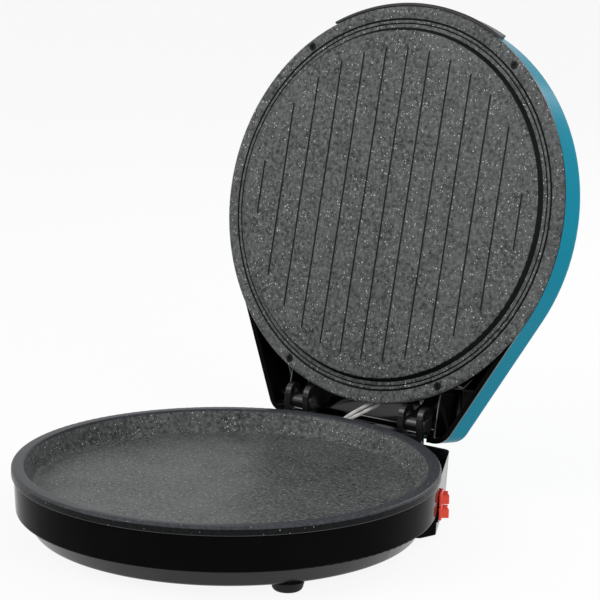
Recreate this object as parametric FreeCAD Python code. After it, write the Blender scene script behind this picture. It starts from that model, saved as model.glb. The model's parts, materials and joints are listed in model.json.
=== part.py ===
import FreeCAD, Part
import math
import os
from FreeCAD import Vector

# Electric baking pan: a round base with a tapered rear, and a lid on floating hinges.
# Lengths are in millimetres and angles in degrees. The pan's axis is x = y = 0 while modelling,
# +Y points to the hinge and the lid is modelled closed, then swung open about the hinge axis.

# Plates
plate_radius = 172.0
rim_width = 10.0
rim_round = 2.5
plate_wall = 3.5
plate_skirt = 7.3
pan_depth = 18.0
pan_lean = 7.0
pan_round = 5.0
face_inset = 22.0
face_height = 4.9
face_lean = 3.0
face_round = 1.5
bead_groove_step = 10.3
bead_groove_width = 1.8
bead_groove_depth = 1.2
bead_line_step = 6.6
bead_line_width = 1.2
bead_line_depth = 0.8
groove_pitch = 22.25
groove_width = 1.8
groove_depth = 1.2
groove_margin = 14.4
groove_shortest = 40.0
plate_screw_inset = 6.3
plate_screw_front_angle = 38.9
rear_screw_offset = 18.0
boss_inset = 44.0
boss_angles = (45.0, 135.0, 225.0, 315.0)
boss_radius = 6.0
boss_height = 9.5

# Base
wiring_space = 18.0
wall_inset = 1.8
wall_draft_angle = 3.0
shell_wall = 2.6
wall_foot = 23.2
wall_round = 2.0
taper_angle = 28.0
deck_step = 2.0
rear_corner = 9.0
skirt_bottom = 3.2
skirt_shoulder_ahead = 77.0
skirt_shoulder_round = 3.0
skirt_toe_ahead = 94.0
skirt_toe_gap = 4.2
skirt_toe_round = 4.0
tier_bottom = 7.8
tier_inset = 18.0
tier_round = 5.0
tier_lean = 9.0
tier_lip = 6.0
cover_wall = 2.4

# Lid
lid_inset = 1.0
lid_height = 38.7
lid_draft = 2.0
lid_corner = 18.0
lid_top_round = 8.0
lid_wall = 2.2
liner_wall = 2.0
liner_flange = 1.6
liner_rib = 2.0
liner_rib_setback = 3.0
open_angle = 103.0
closing_gap = 0.4

# Hinge
hinge_reach = 9.3
hinge_rise = 3.6
hinge_spread = 59.8
hinge_float = 7.4
pin_radius = 3.5
cheek_radius = 8.25
cheek_wall = 5.5
post_half_width = 12.3
post_plate = 4.8
post_drop = 22.3
recess_radius = 6.4
recess_depth = 1.2
pin_head_radius = 5.0
pin_head = 0.9
arm_eye_radius = 7.2
arm_flange = 4.0
arm_flange_overhang = 7.0
arm_length = 36.0
arm_flange_length = 28.0
arm_heel_shares = (0.8, 0.3)
lid_rear_reach = 13.5
stop_width = 10.0
stop_height = 9.0
stop_place = 40.0

# Grip on the lid's front edge
grip_half_angle = 29.0
grip_setback = 1.0
grip_height = 26.0
grip_proud = 2.8
grip_taper = 1.5
grip_end_lean = 20.0
grip_lip = 5.0
grip_hollow = 1.6
grip_round = 1.0
grip_peg_angle = 18.0
grip_peg_radius = 2.2
grip_nut_radius = 5.0
grip_nut = 1.2

# Heating
heater_inset = 67.0
heater_tube = 3.3
heater_bend = 15.0
heater_gap_angle = 9.0
heater_tail_reach = 43.0
heater_pin_radius = 1.6
heater_pin = 9.0
pin_wire_share = 0.7
lead_hole_radius = 5.0
clip_radial = 22.0
clip_width = 12.0
clip_wall = 1.2
clip_angles = (-90.0, 20.0, 160.0)
reflector_inset = 31.0
reflector_wall = 0.8
reflector_lip = 5.0
thermostat_radius = 8.5
thermostat_height = 10.0
thermostat_flange = 1.2
thermostat_flange_half_length = 16.0
thermostat_flange_share = 0.66
thermostat_hole_radius = 20.0
tab_width = 6.3
tab_wall = 0.8
tab_height = 7.0
tab_spread = 4.5
fuse_radius = 2.0
fuse_half_length = 7.0
fuse_place = 34.0
fuse_lead_radius = 0.6
fuse_lead = 9.0

# Switches on the right side of the rear
switch_along = 28.0
switch_middle = 26.0
switch_pitch = 11.6
switch_length = 17.0
switch_height = 10.6
switch_bezel = 2.2
switch_pad_margin = 1.2
switch_body_length = 15.4
switch_body_height = 9.0
switch_body_depth = 4.5
switch_tab = 5.0
switch_tab_width = 3.6
rocker_length = 13.0
rocker_height = 7.6
rocker_half_angle = 9.0
rocker_proud = 5.0
rocker_well = 2.0
rocker_round = 1.0

# Fasteners
screw_radius = 1.9
screw_head_radius = 3.4
screw_head = 2.2
drive_length = 4.0
drive_width = 0.9
drive_depth = 1.1
thread_length = 7.0
post_screw_drop = 8.3
post_screw_pitch = 10.0
cover_screw_angles = (-160.0, -110.0, -70.0, -20.0, 60.0, 120.0)
cover_screw_inset = 7.0
cover_boss_radius = 5.2
cover_boss_height = 9.0
rear_screw_shares = ((0.53, 0.56), (0.21, 0.77))

# Feet
front_foot_inset = 10.0
front_foot_angle = 33.0
front_foot_top_radius = 13.0
front_foot_radius = 11.0
front_foot_round = 4.0
rear_foot_ahead = 29.0
rear_foot_inset = 32.8
rear_foot_radius = 10.0
rear_foot_round = 1.5
foot_screw_depth = 2.4
foot_screw_well = 4.4

# Mains inlet, terminals and leads
gland_place = 32.0
gland_height = 18.0
gland_bore = 3.6
gland_neck = 6.0
gland_flange = 9.0
gland_flange_wall = 2.5
gland_length = 24.0
gland_tail_radius = 5.2
window_half_width = 12.0
clamp_ahead = 38.0
clamp_half_length = 15.0
clamp_half_width = 5.0
clamp_height = 7.0
clamp_channel = 3.4
terminal_x = -38.0
terminal_ahead = 54.0
terminal_length = 34.0
terminal_depth = 16.0
terminal_height = 11.0
terminal_ways = 3
terminal_bore = 2.2
wire_radius = 1.1
switch_wire_bend = 10.0
lead_radius = 1.6
lead_spread = 1.75
lead_place = -17.0
lead_rise = 22.0
lead_lid_route = ((22.0, 17.0, 9.0), (30.0, 44.0, 18.0), (30.0, 84.0, 18.0))
lead_outlet_depth = 11.5
lead_outlet_half_width = 8.0
lead_outlet_height = 16.0
lead_outlet_drop = 14.3
lead_notch_left = -32.0
lead_notch_right = 12.0
lead_notch_height = 16.0
grommet_radius = 4.7
grommet_bore = 3.6
grommet_flange = 5.8
grommet_flange_wall = 1.4
lead_clamp_half_length = 12.0
lead_clamp_half_width = 4.0

# Clearances and construction values
seat = 0.1
fit_gap = 0.3
running_gap = 0.05
hole_gap = 0.15
seam = 0.4
overrun = 3.0
bend_share = 0.45
same_point = 0.0001

# Sizes worked out from the values above
cover_floor = tier_bottom + cover_wall
rim_z = cover_floor + wiring_space + reflector_wall + boss_height + plate_wall + pan_depth
rim_inner = plate_radius - rim_width
pan_floor_radius = rim_inner - pan_lean
pan_floor_z = rim_z - pan_depth
pan_back_z = pan_floor_z - plate_wall
reflector_top = pan_back_z - boss_height
face_radius = plate_radius - face_inset
bead_groove_radius = face_radius + bead_groove_step
bead_line_radius = face_radius + bead_line_step
groove_reach = face_radius - groove_margin
groove_rows = int(math.sqrt(groove_reach ** 2 - (groove_shortest / 2) ** 2) / groove_pitch)
boss_circle = plate_radius - boss_inset
heater_radius = plate_radius - heater_inset
heater_tail = heater_radius - heater_tail_reach
reflector_radius = plate_radius - reflector_inset
wall_radius = plate_radius - wall_inset
wall_slope = math.tan(math.radians(wall_draft_angle))
shell_top = rim_z - plate_skirt - seam
deck_top = shell_top - deck_step
rear_face = plate_radius
tier_radius = plate_radius - tier_inset
skirt_shoulder = rear_face - skirt_shoulder_ahead
skirt_toe = rear_face - skirt_toe_ahead
skirt_toe_half_width = math.sqrt(tier_radius ** 2 - skirt_toe ** 2) + skirt_toe_gap
front_foot_circle = tier_radius - front_foot_inset
rear_foot_y = rear_face - rear_foot_ahead
clamp_place = rear_face - clamp_ahead
terminal_y = rear_face - terminal_ahead
lean = math.radians(taper_angle)
tier_top = wall_foot + seam
tier_top_radius = tier_radius + tier_lean
lip_radius = wall_radius - wall_slope * (shell_top - wall_foot) - shell_wall - seam
post_bottom = deck_top - post_drop
post_screw_high = deck_top - post_screw_drop
post_screw_low = post_screw_high - post_screw_pitch
pad_seat = rear_face - shell_wall - wall_slope * (shell_top - post_bottom)
switch_low = switch_middle - (switch_pitch + switch_height) / 2 - switch_pad_margin
switch_high = switch_middle + (switch_pitch + switch_height) / 2 + switch_pad_margin
switch_plane = wall_radius - wall_slope * (shell_top - switch_high)
switch_seat = wall_radius - wall_slope * (shell_top - switch_low) - shell_wall
cover_screw_circle = tier_radius - cover_screw_inset
cover_seat = tier_top + cover_wall
rear_cover_bottom = skirt_bottom + seam
rear_cover_top = rear_cover_bottom + cover_wall

hinge_y = rear_face + hinge_reach
hinge_z = rim_z + hinge_rise
face_z = rim_z + closing_gap
plateau_z = face_z - face_height
plateau_back = plateau_z + plate_wall
rim_back = face_z + plate_wall
lid_radius = plate_radius - lid_inset
lid_rear = hinge_y + lid_rear_reach
lid_rim = rim_back + fit_gap
lid_top = face_z + lid_height
lid_depth = lid_top - lid_rim
liner_inset = lid_wall + fit_gap
shell_rim = lid_rim + liner_flange
liner_top = lid_top - lid_wall - fit_gap
liner_ceiling = liner_top - liner_wall
screw_circle = plate_radius - plate_screw_inset
rear_screw_angle = math.degrees(math.asin((hinge_spread + rear_screw_offset) / screw_circle))
screw_hole = screw_radius + hole_gap
lead_y = rear_face + lead_outlet_depth / 2
lead_outlet_bottom = deck_top - lead_outlet_drop
lead_outlet_top = lead_outlet_bottom + lead_outlet_height


def corner_path(corners, place):
    """Closed wire through corners (a, b, radius), each rounded by an arc of its own radius."""
    count = len(corners)
    turns = []
    for index, (a, b, radius) in enumerate(corners):
        here = Vector(a, b, 0)
        before = corners[index - 1]
        after = corners[(index + 1) % count]
        back = (Vector(before[0], before[1], 0) - here).normalize()
        ahead = (Vector(after[0], after[1], 0) - here).normalize()
        half = back.getAngle(ahead) / 2
        reach = radius / math.tan(half)
        inward = (back + ahead).normalize()
        middle = here + inward * (radius / math.sin(half) - radius)
        turns.append((here + back * reach, middle, here + ahead * reach))
    edges = []
    for index, (start, middle, end) in enumerate(turns):
        if (end - start).Length > same_point:
            edges.append(Part.Arc(place(start), place(middle), place(end)).toShape())
        following = turns[(index + 1) % count][0]
        if (following - end).Length > same_point:
            edges.append(Part.LineSegment(place(end), place(following)).toShape())
    return Part.Wire(edges)


def lathe(corners):
    """Solid of revolution about the pan's axis, from corners (radius, height, rounding)."""
    wire = corner_path(corners, lambda p: Vector(p.x, 0, p.y))
    return Part.Face(wire).revolve(Vector(0, 0, 0), Vector(0, 0, 1), 360)


def side_slab(corners, x_low, x_high):
    """Slab between two planes across X, from corners (y, z, rounding)."""
    wire = corner_path(corners, lambda p: Vector(x_low, p.x, p.y))
    return Part.Face(wire).extrude(Vector(x_high - x_low, 0, 0))


def plan_slab(corners, z_low, z_high):
    """Upright slab from corners (x, y, rounding)."""
    wire = corner_path(corners, lambda p: Vector(p.x, p.y, z_low))
    return Part.Face(wire).extrude(Vector(0, 0, z_high - z_low))


def block(x_low, x_high, y_low, y_high, z_low, z_high):
    return Part.makeBox(x_high - x_low, y_high - y_low, z_high - z_low, Vector(x_low, y_low, z_low))


def rod(x, y, z_low, z_high, radius):
    return Part.makeCylinder(radius, z_high - z_low, Vector(x, y, z_low))


def rod_across(x_low, x_high, y, z, radius):
    return Part.makeCylinder(radius, x_high - x_low, Vector(x_low, y, z), Vector(1, 0, 0))


def rod_back(x, y_low, y_high, z, radius):
    return Part.makeCylinder(radius, y_high - y_low, Vector(x, y_low, z), Vector(0, 1, 0))


def polar(radius, angle):
    return radius * math.cos(math.radians(angle)), radius * math.sin(math.radians(angle))


def oval_across(x_low, x_high, radius):
    """Upright oval slab about the hinge axis and the top of its float."""
    low = rod_across(x_low, x_high, hinge_y, hinge_z, radius)
    high = rod_across(x_low, x_high, hinge_y, hinge_z + hinge_float, radius)
    middle = block(x_low, x_high, hinge_y - radius, hinge_y + radius, hinge_z, hinge_z + hinge_float)
    return low.fuse([high, middle]).removeSplitter()


def screw_up(x, y, head_z, length):
    """Screw with its head under head_z, a cross recess in the head and its shank pointing up."""
    head = rod(x, y, head_z - screw_head, head_z, screw_head_radius)
    shank = rod(x, y, head_z, head_z + length, screw_radius)
    low = head_z - screw_head - overrun
    high = head_z - screw_head + drive_depth
    half_length = drive_length / 2
    half_width = drive_width / 2
    cross = [
        block(x - half_length, x + half_length, y - half_width, y + half_width, low, high),
        block(x - half_width, x + half_width, y - half_length, y + half_length, low, high),
    ]
    return head.fuse(shank).cut(cross)


def screw_down(x, y, head_z, length):
    """The same screw turned over, with its head standing on head_z."""
    screw = screw_up(x, y, head_z, length)
    screw.rotate(Vector(x, y, head_z), Vector(1, 0, 0), 180)
    return screw


def outline(radius, rear, corner, z):
    """Closed plan wire: a round front that runs straight to a narrower rear edge with round corners."""
    tangent = Vector(radius * math.cos(lean), radius * math.sin(lean), z)
    run = (rear - tangent.y) / math.cos(lean)
    tip_x = tangent.x - run * math.sin(lean)
    reach = corner * math.tan(math.pi / 4 - lean / 2)
    side_end = Vector(tip_x + reach * math.sin(lean), rear - reach * math.cos(lean), z)
    rear_end = Vector(tip_x - reach, rear, z)
    half_turn = math.pi / 4 + lean / 2
    middle_x = rear_end.x + corner * math.cos(half_turn)
    middle = Vector(middle_x, rear - corner + corner * math.sin(half_turn), z)

    def left(point):
        return Vector(-point.x, point.y, z)

    edges = [
        Part.Arc(left(tangent), Vector(0, -radius, z), tangent).toShape(),
        Part.LineSegment(tangent, side_end).toShape(),
        Part.Arc(side_end, middle, rear_end).toShape(),
        Part.LineSegment(rear_end, left(rear_end)).toShape(),
        Part.Arc(left(rear_end), left(middle), left(side_end)).toShape(),
        Part.LineSegment(left(side_end), left(tangent)).toShape(),
    ]
    return Part.Wire(edges)


def taper_x(radius, y):
    """Half width at y of the straight sides that leave a round front of this radius."""
    return (radius - y * math.sin(lean)) / math.cos(lean)


def edges_at(shape, z):
    """Edges of a shape that lie in the plane at height z."""
    return [e for e in shape.Edges if all(abs(v.Z - z) < same_point for v in e.Vertexes)]


def tube(name, points, radius):
    """Round tube along straight runs joined by arcs as large as the runs allow; prints what it measures."""
    points = [Vector(*p) for p in points]
    edges = []
    bends = []
    start = points[0]
    for before, here, after in zip(points, points[1:], points[2:]):
        back = (before - here).normalize()
        ahead = (after - here).normalize()
        half = back.getAngle(ahead) / 2
        reach = bend_share * min((before - here).Length, (after - here).Length)
        bend = reach * math.tan(half)
        bends.append(round(bend, 1))
        middle = here + (back + ahead).normalize() * (bend / math.sin(half) - bend)
        edges.append(Part.LineSegment(start, here + back * reach).toShape())
        edges.append(Part.Arc(here + back * reach, middle, here + ahead * reach).toShape())
        start = here + ahead * reach
    edges.append(Part.LineSegment(start, points[-1]).toShape())
    path = Part.Wire(edges)
    section = Part.Wire(Part.makeCircle(radius, points[0], points[1] - points[0]))
    body = path.makePipeShell([section], True, False)
    share = body.Volume / (math.pi * radius ** 2 * path.Length)
    print(name, "length", round(path.Length, 1), "bends", bends)
    print(name, "volume by section and length", round(share, 4))
    return body


# Lower plate and what hangs under it

def boss_places():
    return [polar(boss_circle, angle) for angle in boss_angles]


def lower_plate():
    plate = lathe([
        (0, pan_floor_z, 0),
        (pan_floor_radius, pan_floor_z, pan_round),
        (rim_inner, rim_z, rim_round),
        (plate_radius, rim_z, rim_round),
        (plate_radius, rim_z - plate_skirt, 0),
        (plate_radius - plate_wall, rim_z - plate_skirt, 0),
        (plate_radius - plate_wall, rim_z - plate_wall, 0),
        (rim_inner + plate_wall, rim_z - plate_wall, 0),
        (pan_floor_radius + plate_wall, pan_back_z, pan_round),
        (0, pan_back_z, 0),
    ])
    bosses = [rod(x, y, reflector_top, pan_floor_z - plate_wall / 2, boss_radius) for x, y in boss_places()]
    holes = [rod(x, y, reflector_top - overrun, pan_back_z, screw_hole) for x, y in boss_places()]
    return plate.fuse(bosses).cut(holes)


def heater(z):
    """Ring heater with two ends that turn in towards the middle and finish in thin pins."""
    turn = math.degrees(math.asin(heater_bend / (heater_radius - heater_bend)))
    straight_end = math.sqrt((heater_radius - heater_bend) ** 2 - heater_bend ** 2)

    def at(radius, angle):
        x, y = polar(radius, angle)
        return Vector(x, y, z)

    def end(side):
        ray = 90 - side * heater_gap_angle
        centre = at(heater_radius - heater_bend, ray - side * turn)
        inner = at(straight_end, ray)
        outer = at(heater_radius, ray - side * turn)
        halfway = ((inner - centre) + (outer - centre)).normalize()
        return at(heater_tail, ray), inner, centre + halfway * heater_bend, outer

    tail, inner, halfway, outer = end(1)
    far_tail, far_inner, far_halfway, far_outer = end(-1)
    path = Part.Wire([
        Part.LineSegment(tail, inner).toShape(),
        Part.Arc(inner, halfway, outer).toShape(),
        Part.Arc(outer, at(heater_radius, -90), far_outer).toShape(),
        Part.Arc(far_outer, far_halfway, far_inner).toShape(),
        Part.LineSegment(far_inner, far_tail).toShape(),
    ])
    section = Part.Wire(Part.makeCircle(heater_tube, tail, inner - tail))
    body = path.makePipeShell([section], True, False)
    pins = []
    for tip, root in ((tail, inner), (far_tail, far_inner)):
        sunk = tip + (root - tip).normalize() * heater_tube
        pins.append(Part.makeCylinder(heater_pin_radius, heater_pin + heater_tube, sunk, tip - root))
    return body.fuse(pins)


def heater_clips(plate_face, away):
    """Saddles that press the heater ring against a plate; away is -1 below the plate and 1 above it."""
    tube_z = plate_face + away * (seat + heater_tube)
    near = plate_face + away * seat
    far = tube_z + away * (heater_tube + clip_wall)
    low, high = sorted((near, far))
    ring = Part.makeTorus(heater_radius, heater_tube + running_gap, Vector(0, 0, tube_z))
    mouth_low, mouth_high = sorted((near - away * overrun, tube_z))
    mouth = rod(0, 0, mouth_low, mouth_high, heater_radius + heater_tube + running_gap)
    mouth = mouth.cut(rod(0, 0, mouth_low, mouth_high, heater_radius - heater_tube - running_gap))
    clips = []
    for angle in clip_angles:
        half = clip_radial / 2
        clip = block(heater_radius - half, heater_radius + half, -clip_width / 2, clip_width / 2, low, high)
        clip.rotate(Vector(0, 0, 0), Vector(0, 0, 1), angle)
        clips.append(clip.cut([ring, mouth]))
    return Part.makeCompound([s for clip in clips for s in clip.Solids])


def reflector(near, away):
    """Thin dish with its lip turned towards the plate; near is its face by the plate's bosses."""
    far = near + away * reflector_wall
    tip = near - away * reflector_lip
    dish = lathe([
        (thermostat_hole_radius, near, 0),
        (thermostat_hole_radius, far, 0),
        (reflector_radius, far, 0),
        (reflector_radius, tip, 0),
        (reflector_radius - reflector_wall, tip, 0),
        (reflector_radius - reflector_wall, near, 0),
    ])
    low, high = sorted((near - away * overrun, far + away * overrun))
    holes = [rod(x, y, low, high, screw_hole) for x, y in boss_places()]
    holes += [rod(x, y, low, high, lead_hole_radius) for x, y in pin_ends()]
    return dish.cut(holes)


def pin_ends():
    """Plan places near the inner ends of the heater's two pins, where the wires come to them."""
    radius = heater_tail - heater_pin * pin_wire_share
    return [polar(radius, 90 + heater_gap_angle), polar(radius, 90 - heater_gap_angle)]


def thermostat(plate_face, away):
    """Disc thermostat with its flange against a plate and two tabs on its far side."""
    near = plate_face + away * seat
    half = thermostat_flange_half_length
    width = thermostat_radius * thermostat_flange_share
    flange_low, flange_high = sorted((near, near + away * thermostat_flange))
    body_low, body_high = sorted((near, near + away * thermostat_height))
    tab_start = near + away * (thermostat_height - thermostat_flange)
    tab_low, tab_high = sorted((tab_start, near + away * (thermostat_height + tab_height)))
    flange = block(-half, half, -width, width, flange_low, flange_high)
    body = rod(0, 0, body_low, body_high, thermostat_radius)
    tabs = [
        block(-tab_width / 2, tab_width / 2, y - tab_wall / 2, y + tab_wall / 2, tab_low, tab_high)
        for y in (-tab_spread, tab_spread)
    ]
    return flange.fuse([body] + tabs)


def thermal_fuse():
    z = pan_back_z - seat - fuse_radius
    can = rod_across(-fuse_half_length, fuse_half_length, -fuse_place, z, fuse_radius)
    reach = fuse_half_length + fuse_lead
    return can.fuse(rod_across(-reach, reach, -fuse_place, z, fuse_lead_radius))


# Base shell and covers

def base_solid(inset, z_low, z_high):
    """Drafted body of the base between two heights, drawn in from its outer face by inset."""
    wires = []
    for z in (z_low, z_high):
        step = inset + wall_slope * (shell_top - z)
        wires.append(outline(wall_radius - step, rear_face - step, rear_corner - step, z))
    return Part.makeLoft(wires, True, True)


def skirt_wire(inset, z):
    """Plan of the lower rear housing at height z, drawn in from its outer face by inset."""
    step = wall_slope * (shell_top - z)
    rear = rear_face - step
    half = [
        (taper_x(wall_radius - step, rear), rear, rear_corner - step),
        (taper_x(wall_radius - step, skirt_shoulder), skirt_shoulder, skirt_shoulder_round),
        (skirt_toe_half_width - step, skirt_toe, skirt_toe_round),
    ]
    corners = half + [(-x, y, radius) for x, y, radius in reversed(half)]
    wire = corner_path(corners, lambda p: Vector(p.x, p.y, z))
    return wire.makeOffset2D(-inset) if inset else wire


def skirt_block(inset, z_low, z_high):
    return Part.makeLoft([skirt_wire(inset, z_low), skirt_wire(inset, z_high)], True, True)


def tier_envelope(gap):
    """Space that the bottom cover's tier takes, grown by a gap."""
    return lathe([
        (0, tier_bottom - gap, 0),
        (tier_radius + gap, tier_bottom - gap, 0),
        (tier_top_radius + gap, tier_top, 0),
        (lip_radius + gap, tier_top, 0),
        (lip_radius + gap, tier_top + tier_lip + gap, 0),
        (0, tier_top + tier_lip + gap, 0),
    ])


def on_right_side(shape):
    """Turns what was modelled on a wall facing +X onto the tapered right wall."""
    shape.rotate(Vector(0, 0, 0), Vector(0, 0, 1), taper_angle)
    return shape


def switch_heights():
    return switch_middle - switch_pitch / 2, switch_middle + switch_pitch / 2


def open_point(v, w):
    """Where a point of the closed lid, v ahead of the hinge and w above it, lies when the lid is open."""
    angle = math.radians(open_angle)
    y = hinge_y - v * math.cos(angle) + w * math.sin(angle)
    z = hinge_z + v * math.sin(angle) + w * math.cos(angle)
    return y, z


def base_shell():
    wall = base_solid(0, wall_foot, shell_top)
    rounded = wall.makeFillet(wall_round, edges_at(wall, wall_foot))
    far = 2 * plate_radius
    lobes = block(-far, far, wall_radius * math.sin(lean), far, deck_top, shell_top + overrun)
    lobes = lobes.cut(rod(0, 0, deck_top - overrun, shell_top + 2 * overrun, wall_radius + seam))
    body = rounded.fuse(skirt_block(0, skirt_bottom, wall_foot + shell_wall)).cut(lobes)
    hollow = base_solid(shell_wall, wall_foot, deck_top - shell_wall)
    well_radius = wall_radius - shell_wall - wall_slope * overrun
    well = rod(0, 0, deck_top - 2 * shell_wall, shell_top + overrun, well_radius)
    skirt_hollow = skirt_block(shell_wall, skirt_bottom - overrun, wall_foot + shell_wall)
    body = body.cut([hollow, well, skirt_hollow, tier_envelope(seam)])
    return body.fuse(shell_bosses(wall) + shell_pads() + stop_pads()).cut(shell_holes()).removeSplitter()


def shell_bosses(wall):
    """Screw bosses for the bottom cover, each tied to the wall by a rib."""
    bosses = []
    low = cover_seat + seat
    for angle in cover_screw_angles:
        x, y = polar(cover_screw_circle, angle)
        boss = rod(x, y, low, low + cover_boss_height, cover_boss_radius)
        rib = block(cover_screw_circle, 2 * plate_radius, -shell_wall / 2, shell_wall / 2, low,
                    low + cover_boss_height)
        rib.rotate(Vector(0, 0, 0), Vector(0, 0, 1), angle)
        bosses += [boss.common(wall), rib.common(wall)]
    return bosses


def shell_pads():
    """Flat seats on the drafted walls for the hinge posts, the mains gland, the leads and the switches."""
    half = post_half_width + overrun / 2
    pads = []
    for x in (-hinge_spread, hinge_spread):
        pads.append(block(x - half, x + half, pad_seat, rear_face, post_bottom, deck_top))
    gland_seat = rear_face - shell_wall - wall_slope * (shell_top - gland_height + gland_flange)
    pads.append(rod_back(gland_place, gland_seat, rear_face, gland_height, gland_flange + seam))
    left = lead_place - lead_outlet_half_width
    right = lead_place + lead_outlet_half_width
    outlet_back = rear_face + lead_outlet_depth
    pads.append(block(left, right, rear_face - shell_wall, outlet_back, lead_outlet_bottom, lead_outlet_top))
    front = switch_along - switch_length / 2 - switch_pad_margin
    back = switch_along + switch_length / 2 + switch_pad_margin
    switch_pad = block(switch_seat, switch_plane, front, back, switch_low, switch_high)
    return pads + [on_right_side(switch_pad)]


def stop_pads():
    """Pads on the rear wall that the open lid's rear edge leans on."""
    y, z = open_point(-lid_rear_reach, lid_rim - hinge_z)
    return [
        block(x - stop_width / 2, x + stop_width / 2, rear_face - shell_wall, y - fit_gap, z - stop_height, z)
        for x in (-stop_place, stop_place)
    ]


def shell_holes():
    half_length = switch_body_length / 2 + hole_gap
    half_height = switch_body_height / 2 + hole_gap
    holes = [
        on_right_side(block(switch_seat - overrun, switch_plane + overrun, switch_along - half_length,
                            switch_along + half_length, z - half_height, z + half_height))
        for z in switch_heights()
    ]
    holes += [
        rod(*polar(cover_screw_circle, angle), cover_seat - overrun, cover_seat + thread_length, screw_hole)
        for angle in cover_screw_angles
    ]
    holes += [
        rod_back(side * hinge_spread, pad_seat - overrun, rear_face + overrun, z, screw_hole)
        for side in (-1, 1) for z in (post_screw_low, post_screw_high)
    ]
    inside = rear_face - 2 * shell_wall - overrun
    holes.append(rod_back(gland_place, inside, rear_face + overrun, gland_height, gland_neck + hole_gap))
    holes.append(rod(lead_place, lead_y, lead_outlet_bottom + shell_wall, lead_outlet_top + overrun,
                     grommet_radius + hole_gap))
    holes.append(block(lead_place - grommet_bore, lead_place + grommet_bore, inside, lead_y,
                       lead_outlet_bottom + shell_wall, lead_outlet_top - 2 * shell_wall))
    return holes


def cover_outside():
    return lathe([
        (0, tier_bottom, 0),
        (tier_radius, tier_bottom, tier_round),
        (tier_top_radius, tier_top, 0),
        (lip_radius, tier_top, 0),
        (lip_radius, tier_top + tier_lip, 0),
        (0, tier_top + tier_lip, 0),
    ])


def foot_places():
    x, y = polar(front_foot_circle, -front_foot_angle)
    return [(-x, y), (x, y)]


def rear_foot_places():
    x = taper_x(wall_radius, rear_foot_y) - rear_foot_inset
    return [(-x, rear_foot_y), (x, rear_foot_y)]


def rear_screws_at():
    return [(side * x * rear_face, y * rear_face) for x, y in rear_screw_shares for side in (-1, 1)]


def bottom_cover():
    inside = lathe([
        (0, cover_floor, 0),
        (tier_radius - cover_wall, cover_floor, tier_round),
        (tier_top_radius - cover_wall, tier_top + cover_wall, 0),
        (lip_radius - cover_wall, tier_top + cover_wall, 0),
        (lip_radius - cover_wall, tier_top + tier_lip + overrun, 0),
        (0, tier_top + tier_lip + overrun, 0),
    ])
    outside = cover_outside()
    dish = outside.cut(inside)
    post_top = reflector_top - reflector_wall - seat
    solid = [rod(x, y, tier_bottom, post_top, boss_radius) for x, y in boss_places()]
    solid += [rod(x, y, rear_cover_top + seat, cover_floor, cover_boss_radius) for x, y in rear_screws_at()]
    foot_boss_top = cover_floor + thread_length
    solid += [rod(x, y, tier_bottom, foot_boss_top, cover_boss_radius) for x, y in foot_places()]
    rings = [
        rod(*polar(cover_screw_circle, angle), tier_bottom, cover_seat, screw_head_radius + cover_wall)
        for angle in cover_screw_angles
    ]
    solid += [ring.common(outside) for ring in rings]
    wells = []
    for x, y in boss_places():
        wells.append(rod(x, y, tier_bottom - overrun, cover_floor + screw_head, screw_head_radius + fit_gap))
        wells.append(rod(x, y, tier_bottom, post_top + overrun, screw_hole))
    for angle in cover_screw_angles:
        x, y = polar(cover_screw_circle, angle)
        wells.append(rod(x, y, tier_bottom - overrun, cover_seat - cover_wall, screw_head_radius + fit_gap))
        wells.append(rod(x, y, tier_bottom, cover_seat + overrun, screw_hole))
        half = cover_boss_radius + seam
        lip_top = tier_top + tier_lip + overrun
        notch = block(cover_screw_circle, lip_radius + overrun, -half, half, cover_seat, lip_top)
        notch.rotate(Vector(0, 0, 0), Vector(0, 0, 1), angle)
        wells.append(notch)
    for x, y in rear_screws_at():
        wells.append(rod(x, y, rear_cover_top, cover_floor + overrun, screw_hole))
    for x, y in foot_places():
        wells.append(rod(x, y, tier_bottom - overrun, foot_boss_top + overrun, screw_hole))
    return dish.fuse(solid).cut(wells + cover_windows()).removeSplitter()


def cover_windows():
    """Openings for the switches and for the mains lead, hidden by the rear housing."""
    high = tier_top + tier_lip + overrun
    inner_end = switch_seat - switch_body_depth - switch_tab - overrun
    reach = switch_length / 2 + overrun
    switches = block(inner_end, wall_radius, switch_along - reach, switch_along + reach, switch_low, high)
    left = gland_place - window_half_width
    right = gland_place + window_half_width
    mains = block(left, right, clamp_place + clamp_half_width, rear_face, cover_floor, high)
    return [on_right_side(switches), mains]


def rear_cover():
    plate = skirt_block(shell_wall + fit_gap, rear_cover_bottom, rear_cover_top)
    plate = plate.fuse([
        rod(x, y, rear_cover_bottom, rear_cover_top + thread_length, cover_boss_radius)
        for x, y in rear_foot_places()
    ])
    plate = plate.cut([
        rod(x, y, rear_cover_bottom - overrun, rear_cover_top + thread_length + overrun, screw_hole)
        for x, y in rear_screws_at() + rear_foot_places()
    ])
    return plate


def foot(x, y, top, top_radius, bottom_radius, rounding):
    """Foot with a screw well from below."""
    body = lathe([
        (0, 0, 0),
        (bottom_radius, 0, rounding),
        (top_radius, top, 0),
        (0, top, 0),
    ])
    body = body.cut([
        rod(0, 0, -overrun, foot_screw_depth, foot_screw_well),
        rod(0, 0, 0, top + overrun, screw_hole),
    ])
    body.translate(Vector(x, y, 0))
    return body


# Switches

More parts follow.
